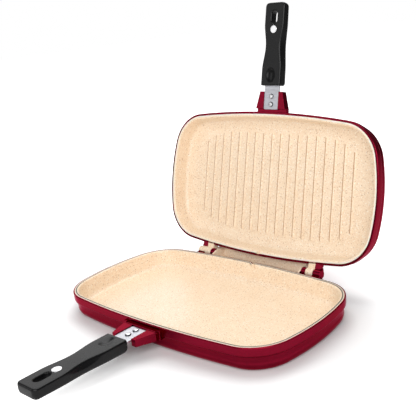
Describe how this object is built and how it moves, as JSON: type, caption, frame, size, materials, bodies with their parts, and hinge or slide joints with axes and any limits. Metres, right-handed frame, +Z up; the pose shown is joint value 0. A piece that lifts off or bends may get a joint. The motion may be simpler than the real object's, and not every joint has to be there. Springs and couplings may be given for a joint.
{
  "type": "double sided flip pan",
  "caption": "Shallow oblong pan hinged at the rear to a matching ribbed pan; each has a bracket, a riveted steel tang and a black grip with a magnet. Lies open.",
  "frame": {"origin": "middle of the lower pan's flat base, on the surface that it stands on", "axes": "X along the long side of the pans and along the hinge axis, -Y towards the handles, +Y towards the hinges, +Z up"},
  "size_m": [0.36, 0.4554, 0.3701],
  "materials": {
    "pan_casting": "cast aluminium, burgundy enamel outside and cream speckled ceramic coating inside",
    "silicone": "pale silicone",
    "steel": "brushed stainless steel",
    "polished_steel": "polished steel",
    "grip_plastic": "satin black phenolic",
    "magnet_iron": "dark sintered magnet"
  },
  "bodies": {
    "lower_half": {"lower_pan": "pan_casting", "left_hinge_pin": "steel", "right_hinge_pin": "steel", "lower_tang": "steel", "lower_inner_rivet": "polished_steel", "lower_outer_rivet": "polished_steel", "lower_grip": "grip_plastic", "lower_magnet": "magnet_iron", "lower_magnet_cap": "polished_steel", "lower_handle_screw": "steel", "lower_spring_washer": "steel"},
    "upper_half": {"upper_pan": "pan_casting", "rim_gasket": "silicone", "upper_tang": "steel", "upper_inner_rivet": "polished_steel", "upper_outer_rivet": "polished_steel", "upper_grip": "grip_plastic", "upper_magnet": "magnet_iron", "upper_magnet_cap": "polished_steel", "upper_handle_screw": "steel", "upper_spring_washer": "steel"}
  },
  "joints": [
    {"name": "pan_hinge", "type": "hinge", "parent": "lower_half", "child": "upper_half", "pos_m": [0, 0.105, 0.0288], "axis": [1, 0, 0], "range_deg": [0, 104.5]}
  ]
}
